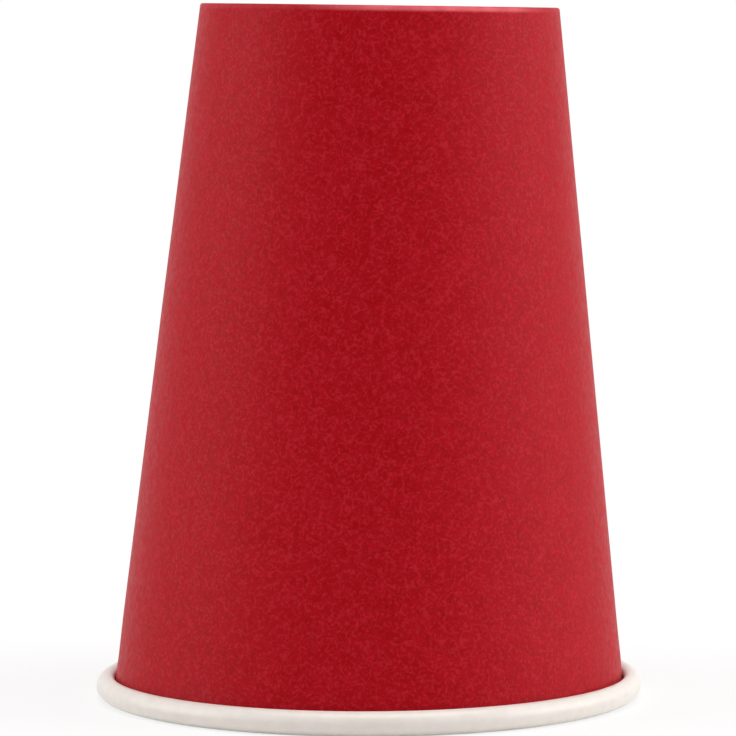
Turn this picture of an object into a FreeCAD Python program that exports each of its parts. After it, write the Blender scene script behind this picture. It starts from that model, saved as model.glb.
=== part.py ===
"""A single-wall paper cup, standing upside down on its rolled rim.

The cup is two blanks of coated board. The sidewall is one fan-shaped sheet, rolled into a cone and lapped
at a seam down the back. Its wide edge is rolled outward into the rim, and its narrow edge is folded inward
over the skirt of the base disc, which it clamps. The base disc is a round sheet drawn into a shallow tray.

Millimetres, +Z up. The rim rests on z = 0 with its centre at the origin, and the cup's standing edge is the
pressed crest of the fold at z = HEIGHT. Both sheets are drawn as a centre line in the r-z half plane, made
of runs and tangent turns, given their thickness on either side of it, and turned about the cup's axis.
"""
import FreeCAD, Part
import os
from math import acos, atan2, ceil, cos, degrees, hypot, radians, sin, tan

# The cup's outline
HEIGHT = 113.7
RIM_RADIUS = 45.0
BASE_RADIUS = 29.35          # the wall's outer face, carried on to the standing edge's plane

# The sheets
WALL_BOARD = 0.35
DISC_BOARD = 0.28

# The rolled rim: turns of the wall's centre line, from the mouth outward and up, then tucked inside
ROLL_MOUTH_RADIUS = 0.94     # from the wall to the roll's lowest point
ROLL_LOWER_RADIUS = 1.95     # on to its outermost point
ROLL_UPPER_RADIUS = 1.70     # on to its crest
ROLL_INNER_RADIUS = 0.90     # down again beside the wall
TUCK_RADIUS = 0.75
TUCK_TURN = 90.0             # degrees that the free edge turns on inside the roll

# The folded base edge
FOLD_RADIUS = 0.25           # of the centre line, at both corners of the crest
HEM_LENGTH = 4.8             # the straight of the fold, inside the skirt
DISC_RECESS = 7.0            # from the standing edge to the disc's underside
DISC_CORNER_RADIUS = 0.5
SKIRT_CLEARANCE = 0.9        # from the skirt's raw edge to the standing edge

# The lapped seam, as angles about the cup's axis
SEAM_ANGLE = 90.0            # the under layer's raw edge; the lap runs on from here
LAP_ANGLE = 11.0             # about 7 mm of overlap at half height
RAMP_ANGLE = 2.6             # over which a layer steps by one board

# A tight bend in board is a row of narrow flats: how far each may lie inside the true round
FLAT_DEPTH = 0.085

QUARTER = 90.0
FULL_TURN = 360.0
AXIS = FreeCAD.Vector(0, 0, 1)
ORIGIN = FreeCAD.Vector(0, 0, 0)


def run(length):
    """A straight stretch of a sheet's centre line."""
    return 0.0, length


def turn(angle, radius):
    """A round stretch of a sheet's centre line: a positive angle, in degrees, turns to the left."""
    return angle, radius


def ahead(heading):
    """The unit vector along a heading given in degrees in the r-z plane."""
    return FreeCAD.Vector(cos(radians(heading)), 0, sin(radians(heading)))


def left_of(heading):
    """The unit vector to the left of a heading."""
    return ahead(heading + QUARTER)


def trace(start, heading, moves, board, offset):
    """The corners of a sheet's centre line, carried `offset` to its left."""
    point = start
    corners = [point + left_of(heading) * offset]
    for angle, size in moves:
        if angle == 0.0:
            point = point + ahead(heading) * size
            corners.append(point + left_of(heading) * offset)
            continue
        radius = size if angle > 0 else -size
        centre = point + left_of(heading) * radius
        flat_angle = degrees(2 * acos(1 - FLAT_DEPTH / (size + board / 2)))
        flats = ceil(abs(angle) / flat_angle)
        for flat in range(flats):
            heading += angle / flats
            point = centre - left_of(heading) * radius
            corners.append(point + left_of(heading) * offset)
    return corners


def section(start, heading, moves, board, shift=0.0):
    """A sheet's closed outline, with its middle `shift` to the left of the centre line."""
    left = trace(start, heading, moves, board, shift + board / 2)
    right = trace(start, heading, moves, board, shift - board / 2)
    return Part.makePolygon(left + right[::-1] + left[:1])


def turned(shape, angle):
    """A copy of a shape, turned about the cup's axis."""
    copy = shape.copy()
    copy.rotate(ORIGIN, AXIS, angle)
    return copy


def swept(outline, first_angle, last_angle):
    """A section turned about the cup's axis from one angle to another."""
    return turned(Part.Face(outline), first_angle).revolve(ORIGIN, AXIS, last_angle - first_angle)


# The wall's taper: its outer face passes through the base radius and is tangent to the roll's first turn
roll_centre_r = RIM_RADIUS - WALL_BOARD / 2 - ROLL_LOWER_RADIUS
roll_centre_z = WALL_BOARD / 2 + ROLL_MOUTH_RADIUS
reach_r = roll_centre_r - BASE_RADIUS
reach_z = roll_centre_z - HEIGHT
taper = atan2(reach_z, reach_r) + acos((ROLL_MOUTH_RADIUS - WALL_BOARD / 2) / hypot(reach_r, reach_z))
TAPER = degrees(taper)
UP_THE_WALL = QUARTER + TAPER

# The wall's centre line, from the roll up to the fold
wall_foot = FreeCAD.Vector(roll_centre_r, 0, roll_centre_z) + left_of(UP_THE_WALL) * ROLL_MOUTH_RADIUS
wall_head_z = HEIGHT - WALL_BOARD / 2 - FOLD_RADIUS * (1 - sin(taper))
wall_length = (wall_head_z - wall_foot.z) / cos(taper)
crest_width = (WALL_BOARD + DISC_BOARD - 2 * FOLD_RADIUS) / cos(taper)


def wall_section(shift=0.0, drop=0.0):
    """The sidewall's section, drawn from the hem's raw edge to the rim's.

    The sheet lies `shift` to the outside of its usual place. Where the wall is doubled, its fold is `drop`
    lower, and the rim's inner turn is as much tighter, to clear the outer layer.
    """
    to_wall_foot = [
        run(HEM_LENGTH),
        turn(-UP_THE_WALL, FOLD_RADIUS),
        run(crest_width),
        turn(UP_THE_WALL - 2 * QUARTER, FOLD_RADIUS),
        run(wall_length - drop / cos(taper)),
    ]
    roll = [
        turn(QUARTER - TAPER, ROLL_MOUTH_RADIUS),
        turn(QUARTER, ROLL_LOWER_RADIUS),
        turn(QUARTER, ROLL_UPPER_RADIUS),
        turn(QUARTER, ROLL_INNER_RADIUS - drop),
        turn(TUCK_TURN, TUCK_RADIUS),
    ]
    foot_from_hem = trace(ORIGIN, UP_THE_WALL, to_wall_foot, WALL_BOARD, 0.0)[-1]
    return section(wall_foot - foot_from_hem, UP_THE_WALL, to_wall_foot + roll, WALL_BOARD, shift)


def ramp(first_angle, first, last):
    """A short stretch of sidewall in which the sheet moves from one (shift, drop) to another."""
    start = turned(wall_section(*first), first_angle)
    end = turned(wall_section(*last), first_angle + RAMP_ANGLE)
    return Part.makeLoft([start, end], True, True)


def make_sidewall():
    """The cone with its rolled rim and folded base edge, lapped on itself by one board at the seam.

    At the lap the under layer's fold is pressed one board lower, so the standing edge stays level.
    """
    flush = (0.0, 0.0)
    under = (0.0, WALL_BOARD)
    over = (WALL_BOARD, WALL_BOARD)
    lap_end = SEAM_ANGLE + LAP_ANGLE
    climb = SEAM_ANGLE + FULL_TURN - RAMP_ANGLE
    body = swept(wall_section(*flush), lap_end + RAMP_ANGLE, climb)
    under_lap = swept(wall_section(*under), SEAM_ANGLE, lap_end)
    over_lap = swept(wall_section(*over), SEAM_ANGLE, lap_end)
    ramp_up = ramp(lap_end, under, flush)
    ramp_over = ramp(climb, flush, over)
    return body.multiFuse([under_lap, over_lap, ramp_up, ramp_over]).removeSplitter()


def make_base_disc():
    """The drawn tray: a flat panel, a round corner and a skirt that lies flat against the wall."""
    panel_z = HEIGHT - DISC_RECESS - DISC_BOARD / 2
    between_boards = (WALL_BOARD + DISC_BOARD) / 2 / cos(taper)
    corner_r = wall_foot.x - (panel_z - wall_foot.z) * tan(taper) - between_boards
    set_back = DISC_CORNER_RADIUS * tan(radians(UP_THE_WALL / 2))
    skirt_height = HEIGHT - SKIRT_CLEARANCE - panel_z
    moves = [
        run(corner_r - set_back),
        turn(UP_THE_WALL, DISC_CORNER_RADIUS),
        run(skirt_height / cos(taper) - set_back),
    ]
    return swept(section(FreeCAD.Vector(0, 0, panel_z), 0.0, moves, DISC_BOARD), 0.0, FULL_TURN)


os.makedirs("parts", exist_ok=True)
for name, solid in (("sidewall", make_sidewall()), ("base_disc", make_base_disc())):
    solid.exportStep(f"parts/{name}.step")
    print(f"{name}: {solid.Volume / 1000:.2f} cm3, valid {solid.isValid()}, solids {len(solid.Solids)}")
print(f"wall taper {TAPER:.2f} degrees")
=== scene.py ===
"""The looks of an upside-down paper cup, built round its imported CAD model.

The cup is two sheets of board, and both are drawn here as the CAD draws them: a centre line in the r-z half
plane, given its thickness on either side and carried round the axis. Here the bends are true rounds, the
hem has its crimp marks, the drawn skirt its pleats, and the cup the slight lean of the real one.
Metres throughout, with the rim on z = 0.
"""
from math import acos, atan2, cos, degrees, hypot, pi, radians, sin, tan

import bmesh
import bpy
from mathutils import Matrix, Vector, noise


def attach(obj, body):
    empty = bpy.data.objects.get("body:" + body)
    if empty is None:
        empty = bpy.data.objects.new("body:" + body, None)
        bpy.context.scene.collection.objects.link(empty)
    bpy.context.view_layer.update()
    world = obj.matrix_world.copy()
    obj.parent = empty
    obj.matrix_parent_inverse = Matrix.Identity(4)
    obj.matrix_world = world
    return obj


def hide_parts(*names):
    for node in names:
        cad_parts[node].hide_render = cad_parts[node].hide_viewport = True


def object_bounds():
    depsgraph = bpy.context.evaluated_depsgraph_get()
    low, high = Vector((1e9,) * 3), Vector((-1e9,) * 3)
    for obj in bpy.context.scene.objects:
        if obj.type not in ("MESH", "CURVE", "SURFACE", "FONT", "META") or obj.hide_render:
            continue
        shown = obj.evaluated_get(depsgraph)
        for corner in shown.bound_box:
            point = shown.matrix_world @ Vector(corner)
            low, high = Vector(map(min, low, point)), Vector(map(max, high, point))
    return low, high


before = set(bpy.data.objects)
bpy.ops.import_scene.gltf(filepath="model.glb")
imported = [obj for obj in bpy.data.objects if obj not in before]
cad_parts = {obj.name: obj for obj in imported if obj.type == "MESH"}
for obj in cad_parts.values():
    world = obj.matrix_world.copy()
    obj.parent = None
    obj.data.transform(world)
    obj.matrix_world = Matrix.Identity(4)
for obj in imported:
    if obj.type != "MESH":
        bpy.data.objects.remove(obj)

MM = 0.001
QUARTER = 90.0
FULL_TURN = 360.0
UP = Vector((0.0, 0.0, 1.0))
CAD_LOW, CAD_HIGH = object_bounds()

# The cup's outline
HEIGHT = CAD_HIGH.z
RIM_RADIUS = -CAD_LOW.x
BASE_RADIUS = 29.35 * MM     # the wall's outer face, carried on to the standing edge's plane

# The sheets
WALL_BOARD = 0.35 * MM
DISC_BOARD = 0.28 * MM
LAYER_GAP = 0.01 * MM        # between the two layers of the lap, so that their faces don't coincide

# The rolled rim, as radii of the centre line
ROLL_MOUTH_RADIUS = 0.94 * MM
ROLL_LOWER_RADIUS = 1.95 * MM
ROLL_UPPER_RADIUS = 1.70 * MM
ROLL_INNER_RADIUS = 0.90 * MM
TUCK_RADIUS = 0.75 * MM
TUCK_TURN = 90.0

# The folded base edge and the drawn base disc
FOLD_RADIUS = 0.25 * MM
HEM_LENGTH = 4.8 * MM
DISC_RECESS = 7.0 * MM
DISC_CORNER_RADIUS = 0.5 * MM
SKIRT_CLEARANCE = 0.9 * MM

# The lapped seam, as angles in degrees about the cup's axis
SEAM_ANGLE = 90.0
LAP_ANGLE = 11.0
RAMP_ANGLE = 2.6

# The crimp marks on the hem: their depth fades in and out over these shares of its length
CRIMPS = 90
CRIMP_DEPTH = 0.09 * MM
CRIMPS_BEGIN = (0.08, 0.2)
CRIMPS_END = (0.82, 0.95)

# The puckers of the drawn skirt, shallow at its corner and full at its raw edge
PLEATS = 96
PLEAT_DEPTH = 0.035 * MM
PLEAT_AT_CORNER = 0.3        # of the full depth
PLEAT_EVENNESS = 0.6         # the depth's even part, to which noise adds
PLEAT_WANDER = 9             # how fast that noise changes round the skirt

# The pale line along the fold's outer shoulder: rubbed print and a painted highlight, most on the side of the
# cup where the light catches it
CREASE_LENGTH = 0.74 * MM    # how far down the wall it may reach
RUB_AND_HIGHLIGHT_BEGINS = (0.0, 0.8)  # as shares of the shoulder
RUB_AND_HIGHLIGHT_ENDS = (0.15, 0.9)   # as shares of the crease
WORN_AND_LIT_SIDE = 289.0            # degrees about the cup's axis: the front, a little to the right, where the painted highlight is strongest
WORN_AND_LIT_REACH = (0.84, 1.0)     # nearness to that side, from 0 to 1, over which the rubbing and painted highlight grow
WORN_AND_LIT_LEAST = 0.12            # of the full rubbing and painted highlight, on the other sides

# How the real cup strays from a true cone
LEAN = 0.0168                # radians, of the body over the level rim, towards +X
LEAN_FROM = 2.0 * MM
BODY_SHIFT = 0.16 * MM       # of the body over the rim, towards +X
CREST_TILT = 0.0023          # radians, by which the roll is taller towards +X
LEVEL_BELOW = 4.0 * MM       # the rim, which doesn't tilt
TILTED_ABOVE = 14.0 * MM     # from here up, level lines tilt with the lean
WAVE_SIZE = 26 * MM
WAVE_DEPTH = 0.05 * MM

# How finely the meshes are drawn round the axis
DISC_COLUMNS = 480
BODY_COLUMNS = 516
LAP_COLUMNS = 16
RAMP_COLUMNS = 4
ON_AXIS = 1e-6               # metres, within which points on the axis are one


# ---------------------------------------------------------------- the section of a sheet

def ahead(heading):
    """The unit vector along a heading given in degrees in the r-z plane."""
    return Vector((cos(radians(heading)), sin(radians(heading))))


def left_of(heading):
    """The unit vector to the left of a heading."""
    return ahead(heading + QUARTER)


def run(part, length, steps):
    """A straight stretch of a sheet's centre line, drawn in equal steps."""
    return part, 0.0, length, steps


def turn(part, angle, radius, steps):
    """A round stretch of a sheet's centre line: a positive angle, in degrees, turns to the left."""
    return part, angle, radius, steps


def trace(start, heading, moves):
    """Stations along a sheet's centre line: (point, heading, part, share of that part)."""
    point = start
    stations = [(point, heading, moves[0][0], 0.0)]
    for part, angle, size, steps in moves:
        for step in range(1, steps + 1):
            if angle == 0.0:
                point = point + ahead(heading) * (size / steps)
            else:
                radius = size if angle > 0 else -size
                centre = point + left_of(heading) * radius
                heading += angle / steps
                point = centre - left_of(heading) * radius
            stations.append((point, heading, part, step / steps))
    return stations


# The wall's taper: its outer face passes through the base radius and is tangent to the roll's first turn
roll_centre = Vector((RIM_RADIUS - WALL_BOARD / 2 - ROLL_LOWER_RADIUS, WALL_BOARD / 2 + ROLL_MOUTH_RADIUS))
reach = roll_centre - Vector((BASE_RADIUS, HEIGHT))
taper = atan2(reach.y, reach.x) + acos((ROLL_MOUTH_RADIUS - WALL_BOARD / 2) / reach.length)
UP_THE_WALL = QUARTER + degrees(taper)

# The wall's centre line, from the roll up to the fold
wall_foot = roll_centre + left_of(UP_THE_WALL) * ROLL_MOUTH_RADIUS
wall_head_z = HEIGHT - WALL_BOARD / 2 - FOLD_RADIUS * (1 - sin(taper))
wall_length = (wall_head_z - wall_foot.y) / cos(taper)
crest_width = (WALL_BOARD + DISC_BOARD - 2 * FOLD_RADIUS) / cos(taper)


def wall_line(drop):
    """The sidewall's centre line from the hem's raw edge to the rim's.

    Where the wall is doubled its fold is `drop` lower, and the rim's inner turn is as much tighter.
    """
    to_wall_foot = [
        run("hem", HEM_LENGTH, steps=8),
        turn("fold", -UP_THE_WALL, FOLD_RADIUS, steps=7),
        run("crest", crest_width, steps=1),
        turn("shoulder", UP_THE_WALL - 2 * QUARTER, FOLD_RADIUS, steps=6),
        run("crease", CREASE_LENGTH, steps=5),
        run("wall", wall_length - CREASE_LENGTH - drop / cos(taper), steps=20),
    ]
    roll = [
        turn("roll", 2 * QUARTER - UP_THE_WALL, ROLL_MOUTH_RADIUS, steps=6),
        turn("roll", QUARTER, ROLL_LOWER_RADIUS, steps=11),
        turn("roll", QUARTER, ROLL_UPPER_RADIUS, steps=10),
        turn("roll", QUARTER, ROLL_INNER_RADIUS - drop, steps=7),
        turn("roll", TUCK_TURN, TUCK_RADIUS, steps=6),
    ]
    foot_from_hem = trace(Vector((0, 0)), UP_THE_WALL, to_wall_foot)[-1][0]
    return trace(wall_foot - foot_from_hem, UP_THE_WALL, to_wall_foot + roll)


def disc_line(drop):
    """The base disc's centre line, from the axis along the panel and up the skirt: it has no drop."""
    panel_z = HEIGHT - DISC_RECESS - DISC_BOARD / 2
    between_boards = (WALL_BOARD + DISC_BOARD) / 2 / cos(taper)
    corner_r = wall_foot.x - (panel_z - wall_foot.y) * tan(taper) - between_boards
    set_back = DISC_CORNER_RADIUS * tan(radians(UP_THE_WALL / 2))
    skirt_height = HEIGHT - SKIRT_CLEARANCE - panel_z
    moves = [
        run("panel", corner_r - set_back, steps=18),
        turn("corner", UP_THE_WALL, DISC_CORNER_RADIUS, steps=8),
        run("skirt", skirt_height / cos(taper) - set_back, steps=8),
    ]
    return trace(Vector((0, panel_z)), 0.0, moves)


# ---------------------------------------------------------------- shaping

def smooth(low, high, value):
    """0 below low, 1 above high, and a smooth rise between."""
    share = min(max((value - low) / (high - low), 0.0), 1.0)
    return share * share * (3 - 2 * share)


def mix(low, high, share):
    """The value a given share of the way from low to high."""
    return low + (high - low) * share


def ripple(angle, count):
    """Even waves round the cup, from 0 up to 1 and back."""
    return 0.5 - 0.5 * cos(radians(angle) * count)


def crimp(part, share, angle):
    """How deep the crimping wheel has pressed the hem's open face at a place."""
    if part != "hem":
        return 0.0
    band = smooth(*CRIMPS_BEGIN, share) * (1 - smooth(*CRIMPS_END, share))
    return CRIMP_DEPTH * band * ripple(angle, CRIMPS)


def pleat(part, share, angle):
    """How far the drawn skirt puckers in at a place, growing from its corner to its raw edge."""
    if part == "panel":
        return 0.0
    growth = PLEAT_AT_CORNER if part == "corner" else mix(PLEAT_AT_CORNER, 1.0, share)
    uneven = noise.noise(Vector((cos(radians(angle)), sin(radians(angle)), 0.0)) * PLEAT_WANDER)
    return PLEAT_DEPTH * growth * (PLEAT_EVENNESS + uneven) * ripple(angle, PLEATS)


def wear_and_highlight(part, share, angle):
    """How far the print is rubbed and lightened by a painted highlight at a place: only along the fold's
    shoulder, and most on the side where the light catches it.
    """
    if part == "shoulder":
        along = smooth(*RUB_AND_HIGHLIGHT_BEGINS, share)
    elif part == "crease":
        along = 1 - smooth(*RUB_AND_HIGHLIGHT_ENDS, share)
    else:
        return 0.0
    nearness = 0.5 + 0.5 * cos(radians(angle - WORN_AND_LIT_SIDE))
    return along * mix(WORN_AND_LIT_LEAST, 1.0, smooth(*WORN_AND_LIT_REACH, nearness))


def settle(point):
    """Where a point of the true cup lies on the real one, which leans and isn't quite round."""
    off_floor = smooth(0.0, LEVEL_BELOW, point.z)
    off_rim = smooth(LEVEL_BELOW, TILTED_ABOVE, point.z)
    leaned = Vector(point)
    leaned.x += sin(LEAN) * max(point.z - LEAN_FROM, 0.0) + BODY_SHIFT * off_floor
    leaned.z += point.x * (sin(CREST_TILT) * off_floor - sin(LEAN) * off_rim)
    out = Vector((point.x, point.y, 0.0)).normalized()
    return leaned + out * (noise.noise(point / WAVE_SIZE) * WAVE_DEPTH * off_rim)


# ---------------------------------------------------------------- meshes

LEFT_FACE, RIGHT_FACE, CUT_EDGE = range(3)

# The parts of the bake map, from 0 to 1, that the sheet and its two ends take
MAP_ACROSS = (0.01, 0.99)
MAP_ALONG = (0.02, 0.98)
MAP_FIRST_END = (0.002, 0.01)
MAP_LAST_END = (0.99, 0.998)


def wall_columns():
    """(angle, shift, drop) from the blank's under edge round to its over edge."""
    step = WALL_BOARD + LAYER_GAP
    flush, under, over = (0.0, 0.0), (0.0, step), (step, step)
    lap_end = SEAM_ANGLE + LAP_ANGLE
    climb = SEAM_ANGLE + FULL_TURN - RAMP_ANGLE
    columns = []
    for count, first, last, start, end in (
        (LAP_COLUMNS, SEAM_ANGLE, lap_end, under, under),
        (RAMP_COLUMNS, lap_end, lap_end + RAMP_ANGLE, under, flush),
        (BODY_COLUMNS, lap_end + RAMP_ANGLE, climb, flush, flush),
        (RAMP_COLUMNS, climb, climb + RAMP_ANGLE, flush, over),
        (LAP_COLUMNS, climb + RAMP_ANGLE, lap_end + FULL_TURN, over, over),
    ):
        for column in range(count):
            share = column / count
            shift, drop = (mix(a, b, smooth(0.0, 1.0, share)) for a, b in zip(start, end))
            columns.append((mix(first, last, share), shift, drop))
    columns.append((lap_end + FULL_TURN, *over))
    return columns


def disc_columns():
    """(angle, shift, drop) once round the axis."""
    return [(FULL_TURN * i / DISC_COLUMNS, 0.0, 0.0) for i in range(DISC_COLUMNS)]


def sheet_ring(line, angle, shift, board, press):
    """A sheet's outline at one angle: out along its left face and back along its right."""
    round_axis = Vector((cos(radians(angle)), sin(radians(angle)), 0.0))
    left, right = [], []
    for point, heading, part, share in line:
        normal = left_of(heading)
        outer = point + normal * (shift + board / 2 - press(part, share, angle))
        inner = point + normal * (shift - board / 2)
        left.append(settle(round_axis * outer.x + UP * outer.y))
        right.append(settle(round_axis * inner.x + UP * inner.y))
    return left + right[::-1]


def map_places(ring, spans):
    """The bake map's coordinates across a sheet, by the length of its outline, and along it."""
    lengths = [0.0]
    for here, there in zip(ring, ring[1:] + ring[:1]):
        lengths.append(lengths[-1] + (there - here).length)
    across = [mix(*MAP_ACROSS, length / lengths[-1]) for length in lengths]
    along = [mix(*MAP_ALONG, i / spans) for i in range(spans + 1)]
    return across, along


def side_faces(rings, closed):
    """The faces between neighbouring rings, as (corners, material, places on the bake map)."""
    size = len(rings[0])
    count = size // 2
    spans = len(rings) if closed else len(rings) - 1
    across, along = map_places(rings[0], spans)
    faces = []
    for i in range(spans):
        here, there = i * size, (i + 1) % len(rings) * size
        for j in range(size - 1 if closed else size):
            k = (j + 1) % size
            if j < count - 1:
                material = LEFT_FACE
            elif count <= j < size - 1:
                material = RIGHT_FACE
            else:
                material = CUT_EDGE
            places = [(across[j], along[i]), (across[j], along[i + 1]),
                      (across[j + 1], along[i + 1]), (across[j + 1], along[i])]
            faces.append(((here + j, there + j, there + k, here + k), material, places))
    return faces


def end_faces(rings):
    """The faces that close both ends of a sheet that doesn't meet itself."""
    size = len(rings[0])
    across, _ = map_places(rings[0], 1)
    last = (len(rings) - 1) * size
    faces = []
    for base, (low, high) in ((0, MAP_FIRST_END), (last, MAP_LAST_END)):
        for j in range(size // 2 - 1):
            corners = (base + j, base + j + 1, base + size - 2 - j, base + size - 1 - j)
            places = [(across[j], low), (across[j + 1], low), (across[j + 1], high), (across[j], high)]
            faces.append((corners, CUT_EDGE, places))
    return faces


def sheet_mesh(name, columns, line_at, board, press, closed):
    """A sheet of board as one closed mesh: its left face, right face and cut edges.

    A closed sheet starts on the axis and meets itself after a full turn.
    """
    lines = {}
    for _, _, drop in columns:
        if drop not in lines:
            lines[drop] = line_at(drop)
    rings = [sheet_ring(lines[drop], angle, shift, board, press) for angle, shift, drop in columns]
    faces = side_faces(rings, closed) + ([] if closed else end_faces(rings))

    mesh = bpy.data.meshes.new(name)
    mesh.from_pydata([point for ring in rings for point in ring], [], [corners for corners, _, _ in faces])
    mesh.polygons.foreach_set("material_index", [material for _, material, _ in faces])
    bake_map = mesh.uv_layers.new(name="OFBake")        # the name under which an export keeps a piece's map
    places = [place for _, _, face_places in faces for place in face_places]
    bake_map.uv.foreach_set("vector", [value for place in places for value in place])
    # the fold shoulder's mask of rubbed print and painted highlight, read by the printed face's material
    worn_and_highlit = mesh.attributes.new("worn_and_highlit", "FLOAT", "POINT")
    line = line_at(0.0)
    rubbed_and_highlit = [wear_and_highlight(part, share, angle) for angle, _, _ in columns for _, _, part, share in line + line[::-1]]
    worn_and_highlit.data.foreach_set("value", rubbed_and_highlit)
    tidy(mesh, closed)
    return mesh


def tidy(mesh, closed):
    """Merges the points on the axis, faces the mesh outwards and keeps its cut edges sharp."""
    bm = bmesh.new()
    bm.from_mesh(mesh)
    if closed:
        on_axis = [v for v in bm.verts if hypot(v.co.x - settle(UP * v.co.z).x, v.co.y) < ON_AXIS]
        bmesh.ops.remove_doubles(bm, verts=on_axis, dist=ON_AXIS)
    bmesh.ops.recalc_face_normals(bm, faces=bm.faces)
    for face in bm.faces:
        face.smooth = True
    for edge in bm.edges:
        edge.smooth = len({face.material_index for face in edge.link_faces}) == 1
    bm.to_mesh(mesh)
    bm.free()


# ---------------------------------------------------------------- materials

# A Mix node's colour sockets, by number because its other kinds share their names
MIX_A, MIX_B, MIX_RESULT = 6, 7, 2

NOISE_RANGE = (0.3, 0.7)     # the values that soft noise mostly takes
SEED_SHIFT = (1.0, 0.7, 1.3)  # how far a seed of 1 moves the noise, in features
BREAK_EDGE = 0.1             # half the softness of the breaks between fibres

# The materials' colours, in linear light
INK_THICK = (0.353, 0.0, 0.003, 1)
INK_THIN = (0.398, 0.001, 0.009, 1)
INK_BLOTCH = (0.42, 0.003, 0.012, 1)
INK_ON_FIBRE = (0.52, 0.019, 0.035, 1)
INK_IN_PIT = (0.26, 0.0, 0.001, 1)
# rubbed print lightened further as a painted highlight, for the fold's shoulder
INK_RUBBED_AND_HIGHLIT = (0.84, 0.15, 0.17, 1)
COATING_DULL = (0.765, 0.718, 0.662, 1)
COATING_PALE = (0.805, 0.758, 0.702, 1)
BOARD_DULL = (0.76, 0.725, 0.675, 1)
BOARD_PALE = (0.80, 0.77, 0.72, 1)
BOARD_FIBRE = (0.70, 0.655, 0.595, 1)
PLY_DULL = (0.70, 0.65, 0.58, 1)
PLY_PALE = (0.86, 0.82, 0.76, 1)
FLOOR_WHITE = (0.90, 0.90, 0.895, 1)
WHITE = (1, 1, 1, 1)


class Nodes:
    """A node tree, with short ways to add the kinds of node used here."""

    def __init__(self, owner):
        owner.use_nodes = True
        self.tree = owner.node_tree

    def add(self, kind, inputs=None, **settings):
        """A node with its settings, and its inputs set or linked."""
        node = self.tree.nodes.new(kind)
        for key, value in settings.items():
            setattr(node, key, value)
        for key, value in (inputs or {}).items():
            self.put(node.inputs[key], value)
        return node

    def put(self, socket, value):
        """Sets a socket, or links it to another node's output."""
        if isinstance(value, bpy.types.NodeSocket):
            self.tree.links.new(value, socket)
        else:
            socket.default_value = value

    def shade(self, **inputs):
        """Sets or links the shader's inputs, named with underscores for spaces."""
        for key, value in inputs.items():
            self.put(self.tree.nodes["Principled BSDF"].inputs[key.replace("_", " ")], value)

    def seen(self):
        """1 for rays that show a surface to the camera, straight or in a gloss or glass, and 0 for others."""
        rays = self.add("ShaderNodeLightPath").outputs
        in_gloss_or_glass = self.maths("MAXIMUM", rays["Is Glossy Ray"], rays["Is Transmission Ray"])
        return self.maths("MAXIMUM", rays["Is Camera Ray"], in_gloss_or_glass)

    def grain(self, size, seed, detail, distortion=0.0):
        """Soft noise whose features are about `size` across."""
        moved = self.add("ShaderNodeMapping", {
            "Vector": self.add("ShaderNodeTexCoord").outputs["Object"],
            "Location": tuple(seed * shift for shift in SEED_SHIFT),
            "Scale": (1 / size, 1 / size, 1 / size),
        })
        return self.add("ShaderNodeTexNoise", {
            "Vector": moved.outputs["Vector"], "Scale": 1.0, "Detail": detail, "Distortion": distortion,
        }).outputs["Fac"]

    def rise(self, value, low, high, to_low=0.0, to_high=1.0):
        """A smooth rise from to_low to to_high while the value goes from low to high."""
        return self.add("ShaderNodeMapRange", {
            "Value": value, "From Min": low, "From Max": high, "To Min": to_low, "To Max": to_high,
        }, interpolation_type="SMOOTHSTEP").outputs["Result"]

    def spread(self, noise, low=0.0, high=1.0):
        """Soft noise, stretched so that it runs from low to high."""
        return self.rise(noise, *NOISE_RANGE, low, high)

    def maths(self, operation, a, b=0.0):
        """The result of a Math node."""
        return self.add("ShaderNodeMath", {0: a, 1: b}, operation=operation).outputs[0]

    def blend(self, share, a, b):
        """A colour between a and b."""
        node = self.add("ShaderNodeMix", {"Factor": share, MIX_A: a, MIX_B: b}, data_type="RGBA")
        return node.outputs[MIX_RESULT]

    def tint(self, colour, other, mask, strength):
        """A colour carried towards another where a mask is 1, by a share of at most `strength`."""
        return self.blend(self.maths("MULTIPLY", mask, strength), colour, other)

    def bump(self, height, depth):
        """A bump of the given depth in metres."""
        node = self.add("ShaderNodeBump", {"Height": height, "Strength": 1.0, "Distance": depth})
        return node.outputs["Normal"]

    def fibres(self, size, seed, density, width=0.07, distortion=0.6):
        """Short, wormy lines, 1 along their middles: the contours of one noise, broken up by a finer one."""
        waves = self.grain(size, seed, detail=0.0, distortion=distortion)
        off_contour = self.maths("ABSOLUTE", self.maths("SUBTRACT", waves, 0.5))
        lines = self.rise(off_contour, 0.0, width, 1.0, 0.0)
        breaks = self.grain(size / 2, seed + 5.0, detail=0.0)
        level = 1 - density
        return self.maths("MULTIPLY", lines, self.rise(breaks, level - BREAK_EDGE, level + BREAK_EDGE))


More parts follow.
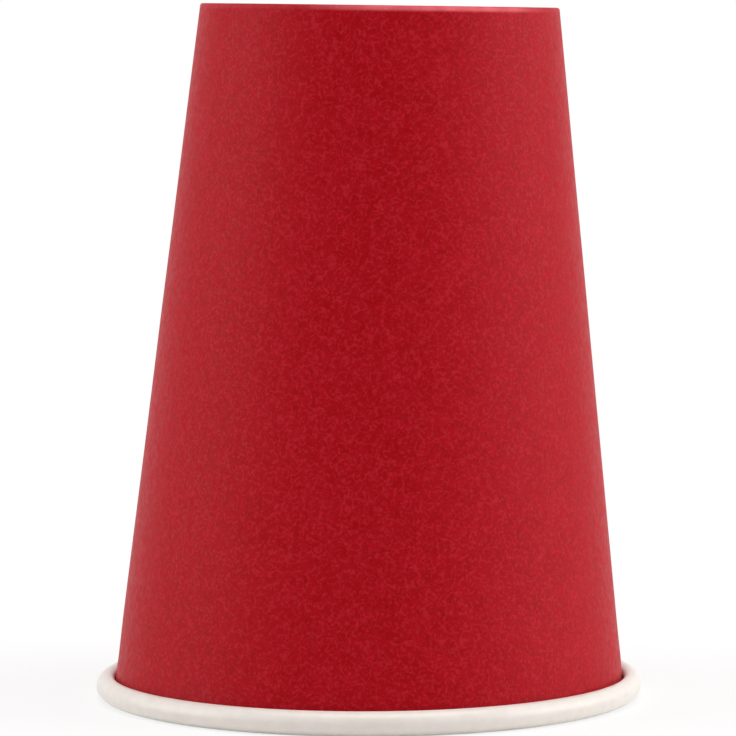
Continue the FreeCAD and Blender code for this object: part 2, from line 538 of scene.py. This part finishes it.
def printed_board():
    """The red printed face: ink over paper fibres, which show through as short lighter marks."""
    material = bpy.data.materials.new("printed_board")
    n = Nodes(material)
    blotches = n.grain(5 * MM, seed=1.0, detail=3.0)
    mottle = n.grain(1.3 * MM, seed=2.0, detail=2.0)
    long_fibres = n.fibres(1.1 * MM, seed=3.0, density=0.55, width=0.13, distortion=0.5)
    short_fibres = n.fibres(0.9 * MM, seed=4.0, density=0.4, width=0.13, distortion=0.5)
    fibres = n.maths("MAXIMUM", long_fibres, short_fibres)
    pits = n.fibres(1.1 * MM, seed=8.0, density=0.55, width=0.13, distortion=0.5)
    # the mask of rubbed print and painted highlight along the fold's shoulder
    worn_and_highlit = n.add("ShaderNodeAttribute", attribute_name="worn_and_highlit").outputs["Fac"]
    patchy = n.spread(n.grain(2.5 * MM, seed=6.0, detail=2.0), 0.75, 1.0)

    colour = n.blend(n.spread(mottle), INK_THICK, INK_THIN)
    colour = n.tint(colour, INK_BLOTCH, n.rise(blotches, 0.35, 0.7), strength=0.35)
    colour = n.tint(colour, INK_ON_FIBRE, fibres, strength=0.47)
    colour = n.tint(colour, INK_IN_PIT, pits, strength=0.42)
    # lightens the print there: partly rubbed ink, partly a painted highlight
    colour = n.blend(n.maths("MULTIPLY", worn_and_highlit, patchy), colour, INK_RUBBED_AND_HIGHLIT)
    relief = n.maths("SUBTRACT", n.grain(0.5 * MM, seed=7.0, detail=2.0), n.maths("MULTIPLY", pits, 0.5))
    n.shade(
        Base_Color=colour,
        Roughness=n.spread(mottle, 0.44, 0.56),
        Specular_IOR_Level=0.09,
        Normal=n.bump(relief, 0.010 * MM),
    )
    return material


def coated_board():
    """The white face with its thin plastic coating: the inside of the cup and the rolled rim."""
    material = bpy.data.materials.new("coated_board")
    n = Nodes(material)
    mottle = n.grain(2.2 * MM, seed=11.0, detail=3.0)
    n.shade(
        Base_Color=n.blend(n.spread(mottle), COATING_DULL, COATING_PALE),
        Roughness=n.spread(mottle, 0.32, 0.40),
        Specular_IOR_Level=0.45,
        Normal=n.bump(n.grain(0.7 * MM, seed=12.0, detail=3.0), 0.015 * MM),
    )
    return material


def bare_board():
    """The base disc's unprinted faces, with the paper's fibres just showing."""
    material = bpy.data.materials.new("bare_board")
    n = Nodes(material)
    mottle = n.grain(1.8 * MM, seed=21.0, detail=3.0)
    fibres = n.fibres(1.4 * MM, seed=22.0, density=0.5)
    colour = n.blend(n.spread(mottle), BOARD_DULL, BOARD_PALE)
    colour = n.tint(colour, BOARD_FIBRE, fibres, strength=0.35)
    n.shade(
        Base_Color=colour,
        Roughness=n.spread(mottle, 0.62, 0.74),
        Specular_IOR_Level=0.3,
        Normal=n.bump(n.grain(0.5 * MM, seed=23.0, detail=4.0), 0.03 * MM),
    )
    return material


def cut_board():
    """A raw cut edge: rough, off-white layers of fibre."""
    material = bpy.data.materials.new("cut_board")
    n = Nodes(material)
    plies = n.grain(0.12 * MM, seed=31.0, detail=2.0)
    n.shade(
        Base_Color=n.blend(n.rise(plies, 0.35, 0.65), PLY_DULL, PLY_PALE),
        Roughness=0.9,
        Specular_IOR_Level=0.2,
        Normal=n.bump(plies, 0.04 * MM),
    )
    return material


# ---------------------------------------------------------------- pieces

def put_in_scene(name, data):
    """A new object in the scene."""
    thing = bpy.data.objects.new(name, data)
    bpy.context.scene.collection.objects.link(thing)
    return thing


def add_piece(name, mesh, materials, node):
    """Shows a mesh in place of a CAD node."""
    piece = put_in_scene(name, mesh)
    for material in materials:
        mesh.materials.append(material)
    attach(piece, "root")
    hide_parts(node)


def make_sidewall():
    """The cone with its rolled rim and folded, crimped base edge."""
    mesh = sheet_mesh("sidewall", wall_columns(), wall_line, WALL_BOARD, crimp, closed=False)
    add_piece("sidewall_sheet", mesh, (printed_board(), coated_board(), cut_board()),
              "sidewall")


def make_base_disc():
    """The drawn tray that closes the cup."""
    mesh = sheet_mesh("base_disc", disc_columns(), disc_line, DISC_BOARD, pleat, closed=True)
    add_piece("base_disc_sheet", mesh, (bare_board(), coated_board(), cut_board()),
              "base_disc")


# ---------------------------------------------------------------- stage

LIGHT_LEVEL = 0.14           # of the surroundings, as the cup sees them
LAMP_SPREAD = 50.0           # degrees across, as the cup sees each lamp
FLOOR_SIZE = 40.0
FLOOR_GLOW = 0.76            # how far the floor's own white lifts it for the camera

CAMERA_PLACE = (0.00003, -0.721, 0.1125)
CAMERA_PITCH = 4.623         # degrees below level
CAMERA_ROLL = -0.0012        # radians
CAMERA_LENS = 214.88         # millimetres, as is the sensor's width
CAMERA_SENSOR = 36.0


def make_world():
    """White surroundings, which light the cup evenly at LIGHT_LEVEL."""
    world = bpy.data.worlds.new("studio")
    n = Nodes(world)
    background = n.tree.nodes["Background"]
    n.put(background.inputs["Color"], WHITE)
    n.put(background.inputs["Strength"], n.rise(n.seen(), 0.0, 1.0, LIGHT_LEVEL, 1.0))
    bpy.context.scene.world = world


def floor_board():
    """Matt white, lifted by a glow for the camera and for reflections alone."""
    material = bpy.data.materials.new("floor")
    n = Nodes(material)
    n.shade(Base_Color=FLOOR_WHITE, Roughness=0.9, Specular_IOR_Level=0.0)
    lifted = n.add("ShaderNodeMixShader", {
        "Fac": n.maths("MULTIPLY", n.seen(), FLOOR_GLOW),
        1: n.tree.nodes["Principled BSDF"].outputs["BSDF"],
        2: n.add("ShaderNodeEmission", {"Color": WHITE}).outputs["Emission"],
    })
    n.put(n.tree.nodes["Material Output"].inputs["Surface"], lifted.outputs["Shader"])
    return material


def make_floor():
    """A plain pale floor that keeps a soft shadow."""
    half = FLOOR_SIZE / 2
    corners = [(-half, -half, 0), (half, -half, 0), (half, half, 0), (-half, half, 0)]
    mesh = bpy.data.meshes.new("floor")
    mesh.from_pydata(corners, [], [(0, 1, 2, 3)])
    mesh.materials.append(floor_board())
    floor = put_in_scene("floor", mesh)


def add_sun(name, azimuth, elevation, strength):
    """A broad, distant lamp. Azimuth 0 is in front of the cup and 90 on its right."""
    lamp = bpy.data.lights.new(name, "SUN")
    lamp.energy = strength * pi
    lamp.angle = radians(LAMP_SPREAD)
    sun = put_in_scene(name, lamp)
    a, e = radians(azimuth), radians(elevation)
    towards = Vector((sin(a) * cos(e), -cos(a) * cos(e), sin(e)))
    sun.rotation_mode = "QUATERNION"
    sun.rotation_quaternion = towards.to_track_quat("Z", "Y")


def make_lights():
    """Soft boxes on both sides, two of them on the brighter right, and one overhead."""
    add_sun("left", azimuth=-86, elevation=20, strength=0.49)
    add_sun("right", azimuth=92, elevation=20, strength=0.46)
    add_sun("right_front", azimuth=65, elevation=20, strength=0.18)
    add_sun("overhead", azimuth=60, elevation=85, strength=0.62)


def make_camera():
    """The photograph's view: a long lens a little below the cup's upper edge, looking slightly down."""
    lens = bpy.data.cameras.new("camera")
    lens.sensor_width = CAMERA_SENSOR
    lens.lens = CAMERA_LENS
    camera = put_in_scene("camera", lens)
    pitch = Matrix.Rotation(radians(QUARTER - CAMERA_PITCH), 4, "X")
    roll = Matrix.Rotation(CAMERA_ROLL, 4, "Z")
    camera.matrix_world = Matrix.Translation(CAMERA_PLACE) @ pitch @ roll
    bpy.context.scene.camera = camera


make_camera()
make_world()
make_floor()
make_lights()
make_sidewall()
make_base_disc()
bpy.context.scene.view_settings.view_transform = "Standard"
